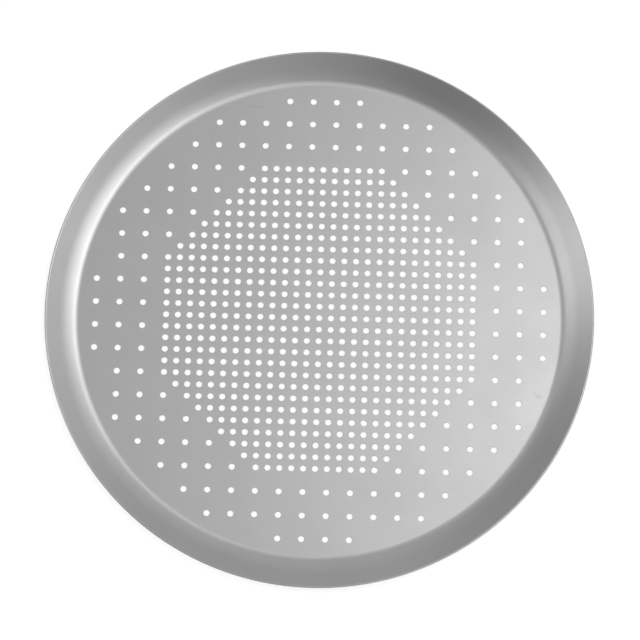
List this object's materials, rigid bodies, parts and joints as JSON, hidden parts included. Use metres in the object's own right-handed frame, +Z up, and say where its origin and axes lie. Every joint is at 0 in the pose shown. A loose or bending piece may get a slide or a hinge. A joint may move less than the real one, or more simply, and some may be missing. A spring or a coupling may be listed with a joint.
{
  "type": "perforated pizza pan",
  "caption": "Round shallow aluminium baking pan with a wide sloping rim and a punched field of vent holes.",
  "frame": {"origin": "centre of the pan, on the surface that it stands on", "axes": "+Z up along the pan's axis, out of its open side; +X and +Y along the rows of holes"},
  "size_m": [0.3048, 0.3048, 0.007],
  "materials": {
    "bare_aluminium": "satin"
  },
  "bodies": {
    "root": {"pan": "bare_aluminium"}
  },
  "joints": []
}
